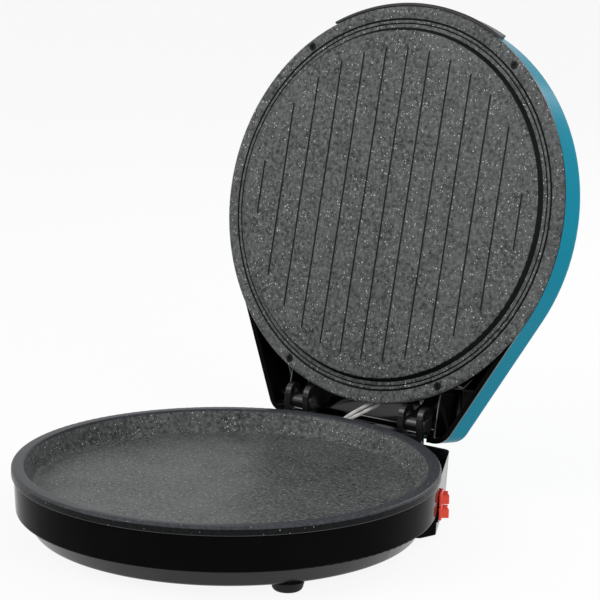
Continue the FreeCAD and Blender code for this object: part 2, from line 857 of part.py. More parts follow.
def switch_body(z):
    """Switch with a bezel outside the wall, a body inside it and three tabs behind."""
    half_length = switch_length / 2
    half_height = switch_height / 2
    out = switch_plane + seat
    back = switch_seat - switch_body_depth
    bezel = block(out, out + switch_bezel, switch_along - half_length, switch_along + half_length,
                  z - half_height, z + half_height)
    bezel = bezel.makeFillet(rocker_round, edges_facing_out(bezel, out + switch_bezel))
    half_length = switch_body_length / 2
    half_height = switch_body_height / 2
    body = block(back, out, switch_along - half_length, switch_along + half_length,
                 z - half_height, z + half_height)
    half_tab = switch_tab_width / 2
    tabs = [
        block(back - switch_tab, back, y - tab_wall / 2, y + tab_wall / 2, z - half_tab, z + half_tab)
        for y in (switch_along - tab_spread, switch_along, switch_along + tab_spread)
    ]
    half_length = rocker_length / 2 + 2 * fit_gap
    half_height = rocker_height / 2 + fit_gap
    well = block(out - rocker_well, out + switch_bezel + overrun, switch_along - half_length,
                 switch_along + half_length, z - half_height, z + half_height)
    return on_right_side(bezel.fuse([body] + tabs).cut(well))


def edges_facing_out(shape, x):
    """Edges of a shape that lie in the plane across X at x."""
    return [e for e in shape.Edges if all(abs(v.X - x) < same_point for v in e.Vertexes)]


def rocker(z):
    """Rocker whose two faces meet in a shallow valley, tipped so that its rear half is pressed in."""
    pivot = switch_plane + seat
    half = rocker_length / 2
    fall = half * math.tan(math.radians(rocker_half_angle))
    front = switch_along - half
    back = switch_along + half
    crown = pivot + switch_bezel + rocker_proud
    corners = [
        (front, pivot, 0),
        (back, pivot, 0),
        (back, crown, rocker_round),
        (switch_along, crown - fall, rocker_round),
        (front, crown, rocker_round),
    ]
    low = z - rocker_height / 2
    wire = corner_path(corners, lambda p: Vector(p.y, p.x, low))
    body = Part.Face(wire).extrude(Vector(0, 0, rocker_height))
    body.rotate(Vector(pivot, switch_along, 0), Vector(0, 0, 1), rocker_half_angle)
    return on_right_side(body)


# Hinge

def hinge_post(side):
    """Post with two cheeks; an upright slot through both lets the pin rise."""
    x = side * hinge_spread
    low_y = rear_face + seat
    high_y = low_y + post_plate
    web_top = hinge_z - arm_eye_radius - fit_gap - running_gap
    post = block(x - post_half_width, x + post_half_width, low_y, high_y, post_bottom, web_top)
    for outer in (-1, 1):
        near, far = sorted((x + outer * (post_half_width - cheek_wall), x + outer * post_half_width))
        cheek = block(near, far, low_y, high_y, post_bottom, hinge_z + hinge_float)
        post = post.fuse([cheek, oval_across(near, far, cheek_radius)])
    reach = post_half_width + overrun
    cuts = [oval_across(x - reach, x + reach, pin_radius + running_gap)]
    for outer in (-1, 1):
        ends = (x + outer * (post_half_width - recess_depth), x + outer * (post_half_width + overrun))
        cuts.append(oval_across(*sorted(ends), recess_radius))
    for z in (post_screw_low, post_screw_high):
        cuts.append(rod_back(x, low_y - overrun, high_y - shell_wall / 2, z, screw_hole))
    return post.cut(cuts).removeSplitter()


def hinge_pin(side):
    x = side * hinge_spread
    end = post_half_width - recess_depth + running_gap
    shank = rod_across(x - end - pin_head, x + end + pin_head, hinge_y, hinge_z, pin_radius)
    head_low, head_high = sorted((x + side * end, x + side * (end + pin_head)))
    return shank.fuse(rod_across(head_low, head_high, hinge_y, hinge_z, pin_head_radius))


def hinge_clips():
    """Spring washers on the inner ends of the pins."""
    clips = []
    for side in (-1, 1):
        end = side * (hinge_spread - post_half_width + recess_depth - running_gap)
        low, high = sorted((end, end - side * pin_head))
        ring = rod_across(low, high, hinge_y, hinge_z, pin_head_radius)
        bore = rod_across(low - overrun, high + overrun, hinge_y, hinge_z, pin_radius + running_gap)
        clips.append(ring.cut(bore))
    return Part.makeCompound(clips)


def post_screws():
    """Screws from inside the rear wall into the posts."""
    length = rear_face - pad_seat + post_plate - shell_wall
    screws = []
    for side in (-1, 1):
        for z in (post_screw_low, post_screw_high):
            screw = screw_up(side * hinge_spread, 0, 0, length)
            screw.rotate(Vector(side * hinge_spread, 0, 0), Vector(1, 0, 0), -90)
            screw.translate(Vector(0, pad_seat - seat, z))
            screws.append(screw)
    return Part.makeCompound(screws)


def hinge_arm(side):
    """Arm that hangs from the lid's liner and turns on the pin between the cheeks."""
    half = post_half_width - cheek_wall - fit_gap
    x = side * hinge_spread
    top = liner_ceiling - seat
    root = hinge_y - arm_length
    heel_back, heel_rise = arm_heel_shares
    corners = [
        (hinge_y + arm_eye_radius * heel_back, hinge_z + arm_eye_radius * heel_rise, 0),
        (hinge_y, top, 0),
        (root, top, 0),
        (root, top - arm_flange, 0),
        (hinge_y - arm_length / 2, hinge_z + arm_length / 2, arm_eye_radius),
        (hinge_y - arm_eye_radius, hinge_z, 0),
    ]
    arm = side_slab(corners, x - half, x + half)
    eye = rod_across(x - half, x + half, hinge_y, hinge_z, arm_eye_radius)
    wide = half + arm_flange_overhang
    flange_front = hinge_y - arm_flange_length
    flange = block(x - wide, x + wide, flange_front, hinge_y - arm_eye_radius, top - arm_flange, top)
    bore = rod_across(x - half - overrun, x + half + overrun, hinge_y, hinge_z, pin_radius + running_gap)
    low = top - arm_flange - overrun
    holes = [rod(*place, low, top + overrun, screw_hole) for place in arm_screw_places(side)]
    return arm.fuse([eye, flange]).cut([bore] + holes).removeSplitter()


def arm_screw_places(side):
    half = post_half_width - cheek_wall - fit_gap
    x = side * hinge_spread
    across = half + arm_flange_overhang / 2 + screw_hole / 2
    y = hinge_y - (arm_flange_length + arm_eye_radius) / 2
    return [(x + step * across, y) for step in (-1, 1)]


# Lid

def lid_outline(inset, z):
    """Plan of the lid's outer face at height z, drawn in by inset."""
    step = inset + lid_draft * (z - lid_rim) / lid_depth
    return outline(lid_radius - step, lid_rear - step, lid_corner - step, z)


def lid_solid(inset, low, high, rounding):
    """Drafted body of the lid between two heights, with its top edge rounded."""
    body = Part.makeLoft([lid_outline(inset, low), lid_outline(inset, high)], True, True)
    return body.makeFillet(rounding, edges_at(body, high))


def rear_notches():
    """Room in the lid's rear wall for the hinge posts and the leads."""
    low = lid_rim - overrun
    start = hinge_y - arm_eye_radius
    end = lid_rear + overrun
    notches = []
    for side in (-1, 1):
        x = side * hinge_spread
        half = post_half_width + seam + fit_gap
        high = hinge_z + hinge_float + cheek_radius + overrun
        notches.append(block(x - half, x + half, start, end, low, high))
    notches.append(block(lead_notch_left, lead_notch_right, start, end, low, lid_rim + lead_notch_height))
    return notches


def grip_peg_tools(radius):
    """Round bars through the lid's front wall where the grip's pegs pass."""
    bars = []
    for angle in (-grip_peg_angle, grip_peg_angle):
        inner = lid_radius - lid_draft - liner_inset - liner_wall - 2 * overrun
        start = Vector(inner, 0, lid_rim + grip_height / 2)
        bar = Part.makeCylinder(radius, lid_radius + overrun - inner, start, Vector(1, 0, 0))
        bar.rotate(Vector(0, 0, 0), Vector(0, 0, 1), angle - 90)
        bars.append(bar)
    return bars


def lid_shell():
    outer = lid_solid(0, shell_rim, lid_top, lid_top_round)
    inner = lid_solid(lid_wall, lid_rim - overrun, lid_top - lid_wall, lid_top_round - lid_wall)
    return outer.cut(inner).cut(rear_notches() + grip_peg_tools(grip_peg_radius + hole_gap))


def plate_screw_places():
    front = [polar(screw_circle, -90 + a) for a in (-plate_screw_front_angle, plate_screw_front_angle)]
    rear = [polar(screw_circle, 90 + a) for a in (-rear_screw_angle, rear_screw_angle)]
    return front + rear


def lid_liner():
    """Inner skin of the lid; its flange covers the shell's edge and a rib stiffens each rear post."""
    outer = lid_solid(liner_inset, lid_rim, liner_top, lid_top_round - liner_inset)
    inset = liner_inset + liner_wall
    inner = lid_solid(inset, lid_rim - overrun, liner_ceiling, lid_top_round - inset)
    flange = Part.makeLoft([lid_outline(0, lid_rim), lid_outline(0, shell_rim - seat)], True, True)
    posts = [
        rod(x, y, rim_back + seat, liner_ceiling + liner_wall / 2, cover_boss_radius).common(outer)
        for x, y in plate_screw_places()
    ]
    holes = [
        rod(*place, rim_back - overrun, rim_back + thread_length, screw_hole)
        for place in plate_screw_places()
    ]
    for place in arm_screw_places(-1) + arm_screw_places(1):
        holes.append(rod(*place, liner_ceiling - overrun, liner_top + overrun, screw_hole))
    half = liner_rib / 2
    low = lid_rim + liner_rib_setback
    high = liner_ceiling + liner_wall / 2
    ribs = [
        block(x - half, x + half, y, lid_rear, low, high).common(outer)
        for x, y in plate_screw_places() if y > 0
    ]
    liner = outer.fuse(flange).cut(inner).fuse(posts + ribs)
    return liner.cut(holes + rear_notches() + grip_peg_tools(grip_peg_radius + hole_gap)).removeSplitter()


def bead(radius, width, depth):
    """Corners of a small ring groove in the upper plate's rim face, from outside in."""
    flank = width / 4
    outside = radius + width / 2
    inside = radius - width / 2
    return [
        (outside, face_z, 0),
        (outside - flank, face_z + depth, 0),
        (inside + flank, face_z + depth, 0),
        (inside, face_z, 0),
    ]


def groove(x):
    """One slot of the cooking face, from edge to edge of the grooved circle."""
    half = math.sqrt(groove_reach ** 2 - x ** 2)
    radius = groove_width / 2
    low = plateau_z - overrun
    high = plateau_z + groove_depth
    straight = half - radius
    ends = [rod(x, y, low, high, radius) for y in (-straight, straight)]
    return block(x - radius, x + radius, -straight, straight, low, high).fuse(ends)


def upper_plate():
    plate = lathe(
        [(plate_radius, rim_back, 0), (plate_radius, face_z, rim_round)]
        + bead(bead_groove_radius, bead_groove_width, bead_groove_depth)
        + bead(bead_line_radius, bead_line_width, bead_line_depth)
        + [
            (face_radius + face_lean, face_z, face_round),
            (face_radius, plateau_z, face_round),
            (0, plateau_z, 0),
            (0, plateau_back, 0),
            (face_radius - plate_wall, plateau_back, 0),
            (face_radius + face_lean - plate_wall, rim_back, 0),
        ]
    )
    cuts = [groove(index * groove_pitch) for index in range(-groove_rows, groove_rows + 1)]
    for x, y in plate_screw_places():
        cuts.append(rod(x, y, face_z - overrun, face_z + screw_head, screw_head_radius + hole_gap))
        cuts.append(rod(x, y, face_z - overrun, rim_back + overrun, screw_hole))
    bosses = [rod(x, y, plateau_back - plate_wall / 2, plateau_back + boss_height, boss_radius)
              for x, y in boss_places()]
    boss_end = plateau_back + boss_height + overrun
    cuts += [rod(x, y, plateau_back, boss_end, screw_hole) for x, y in boss_places()]
    return plate.fuse(bosses).cut(cuts)


def front_grip():
    """Grip band round the lid's front edge, with a finger hollow, leaning ends and pegs through the wall."""
    low = face_z + grip_setback
    high = low + grip_height
    outer = plate_radius + grip_proud
    inner = plate_radius + seam

    def wall(z):
        return lid_radius - lid_draft * (z - lid_rim) / lid_depth + seat

    corners = [
        (inner, low, 0),
        (outer, low, grip_round),
        (outer, low + grip_lip, grip_round),
        (outer - grip_hollow, low + 2 * grip_lip, grip_round),
        (outer - grip_hollow, high - 2 * grip_lip, grip_round),
        (outer - grip_taper, high - grip_lip, grip_round),
        (outer - grip_taper, high, grip_round),
        (wall(high), high, 0),
        (wall(lid_rim), lid_rim, 0),
        (inner, lid_rim, 0),
    ]
    face = Part.Face(corner_path(corners, lambda p: Vector(p.x, 0, p.y)))
    band = face.revolve(Vector(0, 0, 0), Vector(0, 0, 1), 2 * grip_half_angle)
    band.rotate(Vector(0, 0, 0), Vector(0, 0, 1), -90 - grip_half_angle)
    right = block(0, 2 * plate_radius, 0, 2 * grip_height, low - grip_height, high + grip_height)
    right.rotate(Vector(0, 0, low), Vector(1, 0, 0), grip_end_lean)
    left = right.mirror(Vector(0, 0, 0), Vector(0, 1, 0))
    right.rotate(Vector(0, 0, 0), Vector(0, 0, 1), grip_half_angle - 90)
    left.rotate(Vector(0, 0, 0), Vector(0, 0, 1), -grip_half_angle - 90)
    pegs = [bar.common(rod(0, 0, low, high, outer - grip_hollow)) for bar in grip_peg_tools(grip_peg_radius)]
    return band.cut([right, left]).fuse(pegs)


def grip_nuts():
    """Push nuts on the grip's pegs, inside the liner."""
    z = lid_rim + grip_height / 2
    step = liner_inset + liner_wall + lid_draft * (grip_height / 2 + grip_nut_radius) / lid_depth
    start = lid_radius - step - grip_nut - seat
    nuts = []
    for angle in (-grip_peg_angle, grip_peg_angle):
        ring = Part.makeCylinder(grip_nut_radius, grip_nut, Vector(start, 0, z), Vector(1, 0, 0))
        hole = Part.makeCylinder(grip_peg_radius + running_gap, grip_nut + 2 * overrun,
                                 Vector(start - overrun, 0, z), Vector(1, 0, 0))
        nut = ring.cut(hole)
        nut.rotate(Vector(0, 0, 0), Vector(0, 0, 1), angle - 90)
        nuts.append(nut)
    return Part.makeCompound(nuts)


# Mains inlet, terminals, wires and leads

def mains_gland():
    """Flanged bush through the rear wall, with a short tapered sleeve outside."""
    wall_inside = rear_face - shell_wall - wall_slope * (shell_top - gland_height + gland_flange)
    inside = wall_inside - gland_flange_wall - seat
    collar = rear_face + seat
    sleeve = collar + gland_flange_wall
    out = collar + gland_length
    body = rod_back(gland_place, inside, sleeve, gland_height, gland_neck)
    nut = rod_back(gland_place, inside, wall_inside - seat, gland_height, gland_flange)
    flange = rod_back(gland_place, collar, sleeve, gland_height, gland_flange)
    root = Vector(gland_place, sleeve, gland_height)
    cone = Part.makeCone(gland_neck, gland_tail_radius, out - sleeve, root, Vector(0, 1, 0))
    bore = rod_back(gland_place, inside - overrun, out + overrun, gland_height, gland_bore)
    return body.fuse([nut, flange, cone]).cut(bore)


def cord_clamp():
    """Saddle on the bottom cover that would grip the mains lead, with its two screws' holes."""
    low = cover_floor + seat
    high = low + clamp_height
    left = gland_place - clamp_half_length
    right = gland_place + clamp_half_length
    front = clamp_place - clamp_half_width
    back = clamp_place + clamp_half_width
    saddle = block(left, right, front, back, low, high)
    channel = rod_back(gland_place, front - overrun, back + overrun, low, clamp_channel)
    holes = [rod(x, clamp_place, low - overrun, high + overrun, screw_hole) for x in clamp_screws_at()]
    return saddle.cut([channel] + holes)


def clamp_screws_at():
    offset = (clamp_half_length + clamp_channel) / 2
    return gland_place - offset, gland_place + offset


def terminal_block():
    low = cover_floor + seat
    high = low + terminal_height
    middle = low + terminal_height / 2
    half = terminal_length / 2
    front = terminal_y - terminal_depth / 2
    back = terminal_y + terminal_depth / 2
    body = block(terminal_x - half, terminal_x + half, front, back, low, high)
    cuts = []
    for way in terminal_xs():
        cuts.append(rod_back(way, front - overrun, back + overrun, middle, terminal_bore))
        for y in (terminal_y - terminal_depth / 4, terminal_y + terminal_depth / 4):
            cuts.append(rod(way, y, middle, high + overrun, terminal_bore))
    return body.cut(cuts)


def terminal_xs():
    pitch = terminal_length / terminal_ways
    start = terminal_x - terminal_length / 2 + pitch / 2
    return [start + index * pitch for index in range(terminal_ways)]


def base_wires():
    """Wires from the terminal block to the switches and to the lower heater's pins."""
    z = cover_floor + seat + terminal_height / 2
    start = terminal_y - terminal_depth / 4
    front = terminal_y - terminal_depth
    ways = terminal_xs()
    back = switch_seat - switch_body_depth - switch_tab - wire_radius - seat
    wires = []
    for way, height, tab in zip(ways[1:], switch_heights(), (switch_along - tab_spread, switch_along)):
        near = turned(back, tab)
        clear = turned(back - switch_wire_bend, tab)
        wires.append(tube("switch wire", [
            (way, start, z),
            (way, front, z),
            (clear[0], front, z),
            (clear[0], clear[1], height),
            (near[0], near[1], height),
        ], wire_radius))
    pin_z = pan_back_z - seat - heater_tube
    for way, (pin_x, pin_y) in zip(ways, pin_ends()):
        wires.append(tube("heater wire", [
            (way, start - terminal_depth / 2, z),
            (way, front - terminal_depth, z),
            (pin_x, pin_y, z),
            (pin_x, pin_y, pin_z - heater_pin_radius - seat),
        ], wire_radius))
    return Part.makeCompound(wires)


def turned(x, y):
    """Plan point of the tapered right side, from its place on a wall facing +X."""
    return x * math.cos(lean) - y * math.sin(lean), x * math.sin(lean) + y * math.cos(lean)


def lead_grommet():
    collar = lead_outlet_top + seat
    body = rod(lead_place, lead_y, lead_outlet_top - lead_outlet_height / 2, collar, grommet_radius)
    flange = rod(lead_place, lead_y, collar, collar + grommet_flange_wall, grommet_flange)
    bore = rod(lead_place, lead_y, lead_outlet_bottom, lead_outlet_top + 2 * overrun, grommet_bore)
    return body.fuse(flange).cut(bore)


def lid_place(x, v, w):
    """Point at rest of a place in the lid: x across, v ahead of the hinge and w above it when closed."""
    y, z = open_point(v, w)
    return x, y, z


def lid_leads():
    """Pair of sleeved leads from the outlet box up across the hinge line to the upper heater's pins."""
    start = lead_outlet_bottom + shell_wall
    pin_w = plateau_back + seat + heater_tube + heater_pin_radius + seat - hinge_z
    leads = []
    for side, (pin_x, pin_y) in zip((-1, 1), pin_ends()):
        shift = side * lead_spread
        route = [(lead_place + shift, lead_y, start), (lead_place + shift, lead_y, start + lead_rise)]
        route += [lid_place(x + shift, v, w) for x, v, w in lead_lid_route]
        pin_v = hinge_y - pin_y
        route += [lid_place(pin_x, pin_v, lead_lid_route[-1][2]), lid_place(pin_x, pin_v, pin_w)]
        leads.append(tube("lid lead", route, lead_radius))
    return Part.makeCompound(leads)


def lead_clamp():
    """Block on the liner's ceiling that holds the pair of leads, with a hole for each."""
    x, v, w = lead_lid_route[1]
    after = lead_lid_route[2]
    along = Vector(after[0] - x, v - after[1], after[2] - w)
    middle = Vector(x, hinge_y - v, hinge_z + w) + along / 2
    half = lead_clamp_half_length
    body = block(middle.x - half, middle.x + half, middle.y - lead_clamp_half_width,
                 middle.y + lead_clamp_half_width, middle.z - 2 * lead_radius, liner_ceiling - seat)
    holes = []
    for side in (-1, 1):
        start = Vector(x + side * lead_spread, hinge_y - v, hinge_z + w)
        holes.append(Part.makeCylinder(lead_radius + running_gap, along.Length, start, along))
    return body.cut(holes)


# Screws

def lower_plate_screws():
    seat_z = cover_floor + screw_head
    length = pan_back_z - seat_z - plate_wall
    return Part.makeCompound([screw_up(x, y, seat_z, length) for x, y in boss_places()])


def bottom_cover_screws():
    head_z = cover_seat - cover_wall
    return Part.makeCompound([
        screw_up(*polar(cover_screw_circle, angle), head_z, cover_wall + thread_length - seam)
        for angle in cover_screw_angles
    ])


def rear_cover_screws():
    length = cover_floor - rear_cover_bottom
    return Part.makeCompound([screw_up(x, y, rear_cover_bottom - seat, length) for x, y in rear_screws_at()])


def foot_screws():
    front = cover_floor + thread_length - foot_screw_depth - seam
    rear = rear_cover_top + thread_length - foot_screw_depth - seam
    screws = [screw_up(x, y, foot_screw_depth, front) for x, y in foot_places()]
    screws += [screw_up(x, y, foot_screw_depth, rear) for x, y in rear_foot_places()]
    return Part.makeCompound(screws)


def clamp_screws():
    head_z = cover_floor + seat + clamp_height
    return Part.makeCompound([
        screw_down(x, clamp_place, head_z + seat, clamp_height) for x in clamp_screws_at()
    ])


def upper_plate_screws():
    return Part.makeCompound([
        screw_up(x, y, face_z + screw_head, thread_length) for x, y in plate_screw_places()
    ])


def upper_reflector_screws():
    head_z = plateau_back + boss_height + reflector_wall + 2 * seat
    return Part.makeCompound([screw_down(x, y, head_z, thread_length) for x, y in boss_places()])


def hinge_arm_screws():
    head_z = liner_ceiling - seat - arm_flange - seat
    length = arm_flange + liner_wall
    places = arm_screw_places(-1) + arm_screw_places(1)
    return Part.makeCompound([screw_up(x, y, head_z, length) for x, y in places])


def base_nodes():
    lower, upper = switch_heights()
    left_foot, right_foot = foot_places()
    left_pad, right_pad = rear_foot_places()
    foot_top = tier_bottom - seat
    pad_top = rear_cover_bottom - seat
    return {
        "base_shell": base_shell(),
        "bottom_cover": bottom_cover(),
        "rear_cover": rear_cover(),
        "lower_plate": lower_plate(),
        "lower_heater": heater(pan_back_z - seat - heater_tube),
        "lower_heater_clips": heater_clips(pan_back_z, -1),
        "lower_reflector": reflector(reflector_top - seat / 2, -1),
        "lower_thermostat": thermostat(pan_back_z, -1),
        "thermal_fuse": thermal_fuse(),
        "lower_plate_screws": lower_plate_screws(),
        "bottom_cover_screws": bottom_cover_screws(),
        "rear_cover_screws": rear_cover_screws(),
        "front_left_foot": foot(*left_foot, foot_top, front_foot_top_radius, front_foot_radius,
                                front_foot_round),
        "front_right_foot": foot(*right_foot, foot_top, front_foot_top_radius, front_foot_radius,
                                 front_foot_round),
        "rear_left_foot": foot(*left_pad, pad_top, rear_foot_radius, rear_foot_radius, rear_foot_round),
        "rear_right_foot": foot(*right_pad, pad_top, rear_foot_radius, rear_foot_radius, rear_foot_round),
        "foot_screws": foot_screws(),
        "lower_switch_body": switch_body(lower),
        "upper_switch_body": switch_body(upper),
        "lower_rocker": rocker(lower),
        "upper_rocker": rocker(upper),
        "terminal_block": terminal_block(),
        "base_wires": base_wires(),
        "mains_gland": mains_gland(),
        "cord_clamp": cord_clamp(),
        "cord_clamp_screws": clamp_screws(),
        "lead_grommet": lead_grommet(),
        "hinge_post_left": hinge_post(-1),
        "hinge_post_right": hinge_post(1),
        "hinge_post_screws": post_screws(),
        "hinge_pin_left": hinge_pin(-1),
        "hinge_pin_right": hinge_pin(1),
        "hinge_clips": hinge_clips(),
        "lid_leads": lid_leads(),
    }


def lid_nodes():
    """Nodes of the lid, modelled closed."""
    return {
        "lid_shell": lid_shell(),
        "lid_liner": lid_liner(),
        "upper_plate": upper_plate(),
        "upper_heater": heater(plateau_back + seat + heater_tube),
        "upper_heater_clips": heater_clips(plateau_back, 1),
        "upper_reflector": reflector(plateau_back + boss_height + seat, 1),
        "upper_thermostat": thermostat(plateau_back, 1),
        "upper_plate_screws": upper_plate_screws(),
        "upper_reflector_screws": upper_reflector_screws(),
        "front_grip": front_grip(),
        "grip_nuts": grip_nuts(),
        "hinge_arm_left": hinge_arm(-1),
        "hinge_arm_right": hinge_arm(1),
        "hinge_arm_screws": hinge_arm_screws(),
        "lead_clamp": lead_clamp(),
    }


def main():
    os.makedirs("parts", exist_ok=True)
    nodes = base_nodes()
    for name, shape in lid_nodes().items():
        shape.rotate(Vector(0, hinge_y, hinge_z), Vector(1, 0, 0), -open_angle)
        nodes[name] = shape
    lid_back = nodes["lid_shell"].optimalBoundingBox(False, False).YMax
    middle = (lid_back - plate_radius) / 2
    for name, shape in nodes.items():
        shape.translate(Vector(0, -middle, 0))
        solids = shape.Solids
        node = solids[0] if len(solids) == 1 else Part.makeCompound(solids)
        node.exportStep("parts/" + name + ".step")
        print(name, len(solids), node.isValid(), round(node.Volume))
    print("pan axis y", -middle, "hinge", hinge_y - middle, hinge_z)


main()
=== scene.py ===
import json
import math

import bmesh
import bpy
from mathutils import Matrix, Vector


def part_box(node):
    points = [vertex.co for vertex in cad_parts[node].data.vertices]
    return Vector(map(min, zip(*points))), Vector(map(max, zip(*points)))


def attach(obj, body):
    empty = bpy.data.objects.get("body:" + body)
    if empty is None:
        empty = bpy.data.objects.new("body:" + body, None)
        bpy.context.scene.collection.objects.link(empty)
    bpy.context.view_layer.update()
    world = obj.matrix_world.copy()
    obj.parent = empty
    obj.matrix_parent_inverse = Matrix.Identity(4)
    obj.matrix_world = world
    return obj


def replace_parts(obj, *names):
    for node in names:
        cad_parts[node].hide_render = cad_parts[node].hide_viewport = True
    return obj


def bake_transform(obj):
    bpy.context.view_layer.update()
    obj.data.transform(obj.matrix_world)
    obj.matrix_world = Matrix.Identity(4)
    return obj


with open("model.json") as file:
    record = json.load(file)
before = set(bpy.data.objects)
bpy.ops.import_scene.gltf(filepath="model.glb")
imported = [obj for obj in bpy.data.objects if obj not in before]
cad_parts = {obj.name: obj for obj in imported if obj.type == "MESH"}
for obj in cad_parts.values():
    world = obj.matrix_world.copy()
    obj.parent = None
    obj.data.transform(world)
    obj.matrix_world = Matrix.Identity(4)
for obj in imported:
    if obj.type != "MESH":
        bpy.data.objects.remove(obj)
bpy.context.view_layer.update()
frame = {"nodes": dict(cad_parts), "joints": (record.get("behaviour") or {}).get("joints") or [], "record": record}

# Electric baking pan: finishes for the CAD pieces, and finer pieces in place of some of them.
# Sizes and places are in millimetres, and MM turns them to Blender's metres.
MM = 0.001
nodes = frame["nodes"]
record = frame["record"]
scene = bpy.context.scene

body_of = {node: body for body, names in record["behaviour"]["bodies"].items() for node in names}
lid_hinge = next(joint for joint in frame["joints"] if joint["name"] == "lid_hinge")
hinge = Vector(lid_hinge["pos_m"])
closing_angle = math.radians(lid_hinge["range_deg"][1])
plate_low, plate_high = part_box("lower_plate")
pan_y = (plate_low.y + plate_high.y) / 2 / MM
plate_radius = (plate_high.x - plate_low.x) / 2 / MM
rim_z = plate_high.z / MM


# Materials

# Sockets of the Mix node that take and give colours.
COLOUR_A = 6
COLOUR_B = 7
COLOUR_OUT = 2

# A noise texture keeps near 0.5, so these values of it are spread over the whole range.
DRIFT_NOISE = (0.3, 0.7)
CLOUD_NOISE = (0.35, 0.65)

# Flecks lie in patches: the size of a patch, and the share of its flecks that a sparse one keeps.
PATCH_SIZE = 30.0
SPARSE_SHARE = 0.4


def linear(colour):
    """An sRGB hex colour as linear red, green, blue and alpha."""
    shares = [int(colour[i:i + 2], 16) / 255 for i in (1, 3, 5)]
    return [s / 12.92 if s <= 0.04045 else ((s + 0.055) / 1.055) ** 2.4 for s in shares] + [1.0]


def add(tree, kind, inputs=None, **settings):
    """Adds a node with its settings; an input that is a socket is linked, any other is set."""
    node = tree.nodes.new(kind)
    for name, value in settings.items():
        setattr(node, name, value)
    for name, value in (inputs or {}).items():
        if isinstance(value, bpy.types.NodeSocket):
            tree.links.new(value, node.inputs[name])
        else:
            node.inputs[name].default_value = value
    return node


def begin(name, values):
    """A material with one shader, whose even values sit on the shader's own sockets."""
    finish = bpy.data.materials.new(name)
    finish.use_nodes = True
    tree = finish.node_tree
    tree.nodes.clear()
    surface = add(tree, "ShaderNodeBsdfPrincipled", values)
    add(tree, "ShaderNodeOutputMaterial", {"Surface": surface.outputs["BSDF"]})
    return finish, tree, surface


def per_metre(size):
    """The scale of a texture whose features are this many millimetres apart."""
    return 1.0 / (size * MM)


def uneven(tree, surface, size, depth, rough, tones, detail=3.0, drift=45.0):
    """Waviness of one size and depth, with roughness and tone that drift over a longer size."""
    place = add(tree, "ShaderNodeTexCoord").outputs["Object"]
    wave = add(tree, "ShaderNodeTexNoise", {"Vector": place, "Scale": per_metre(size), "Detail": detail})
    slow = add(tree, "ShaderNodeTexNoise", {"Vector": place, "Scale": per_metre(drift), "Detail": 2.0})
    share = add(tree, "ShaderNodeMapRange", {
        "Value": slow.outputs["Fac"], "From Min": DRIFT_NOISE[0], "From Max": DRIFT_NOISE[1],
    }).outputs["Result"]
    spread = add(tree, "ShaderNodeMapRange", {"Value": share, "To Min": rough[0], "To Max": rough[1]})
    shade = add(tree, "ShaderNodeMix", {
        "Factor": share, COLOUR_A: linear(tones[0]), COLOUR_B: linear(tones[1]),
    }, data_type="RGBA").outputs[COLOUR_OUT]
    relief = add(tree, "ShaderNodeBump", {"Height": wave.outputs["Fac"], "Distance": depth * MM})
    tree.links.new(spread.outputs["Result"], surface.inputs["Roughness"])
    tree.links.new(shade, surface.inputs["Base Color"])
    tree.links.new(relief.outputs["Normal"], surface.inputs["Normal"])
    return shade


def fleck(tree, surface, ground, cell, radii, kept, tones):
    """Round flecks, one to a cell at most, of uneven size and tone, denser in some patches."""
    place = add(tree, "ShaderNodeTexCoord").outputs["Object"]
    patches = add(tree, "ShaderNodeTexNoise", {
        "Vector": place, "Scale": per_metre(PATCH_SIZE), "Detail": 2.0,
    })
    dense = add(tree, "ShaderNodeMapRange", {
        "Value": patches.outputs["Fac"], "From Min": CLOUD_NOISE[0], "From Max": CLOUD_NOISE[1],
        "To Min": SPARSE_SHARE * kept, "To Max": kept,
    })
    cells = add(tree, "ShaderNodeTexVoronoi", {"Vector": place, "Scale": per_metre(cell)})
    chance = add(tree, "ShaderNodeSeparateColor", {"Color": cells.outputs["Color"]})
    least, most = (radius / cell for radius in radii)
    size = add(tree, "ShaderNodeMapRange", {"Value": chance.outputs["Red"], "To Min": least, "To Max": most})
    inside = add(tree, "ShaderNodeMath", {0: size.outputs["Result"], 1: cells.outputs["Distance"]},
                 operation="SUBTRACT")
    edge = add(tree, "ShaderNodeMapRange", {"Value": inside.outputs["Value"], "From Max": least / 2})
    there = add(tree, "ShaderNodeMath", {0: chance.outputs["Green"], 1: dense.outputs["Result"]},
                operation="LESS_THAN")
    mask = add(tree, "ShaderNodeMath", {0: edge.outputs["Result"], 1: there.outputs["Value"]},
               operation="MULTIPLY")
    tone = add(tree, "ShaderNodeMix", {
        "Factor": chance.outputs["Blue"], COLOUR_A: linear(tones[0]), COLOUR_B: linear(tones[1]),
    }, data_type="RGBA")
    flecked = add(tree, "ShaderNodeMix", {
        "Factor": mask.outputs["Value"], COLOUR_A: ground, COLOUR_B: tone.outputs[COLOUR_OUT],
    }, data_type="RGBA").outputs[COLOUR_OUT]
    tree.links.new(flecked, surface.inputs["Base Color"])
    return flecked


# High-gloss moulded ABS: near black, with the slow waviness that a polished mould leaves.
gloss_black, tree, surface = begin("gloss_black_abs", {"IOR": 1.54, "Specular IOR Level": 0.02})
uneven(tree, surface, size=14.0, depth=0.02, rough=(0.08, 0.13), tones=("#060607", "#0a0a0b"), detail=1.0)

# The lid's inner skin, of the same ABS: it mirrors the plate and the hinge.
liner_black, tree, surface = begin("gloss_black_abs_liner", {"IOR": 1.54, "Specular IOR Level": 0.45})
uneven(tree, surface, size=18.0, depth=0.05, rough=(0.09, 0.16), tones=("#08090a", "#0d0e0f"), detail=1.0)

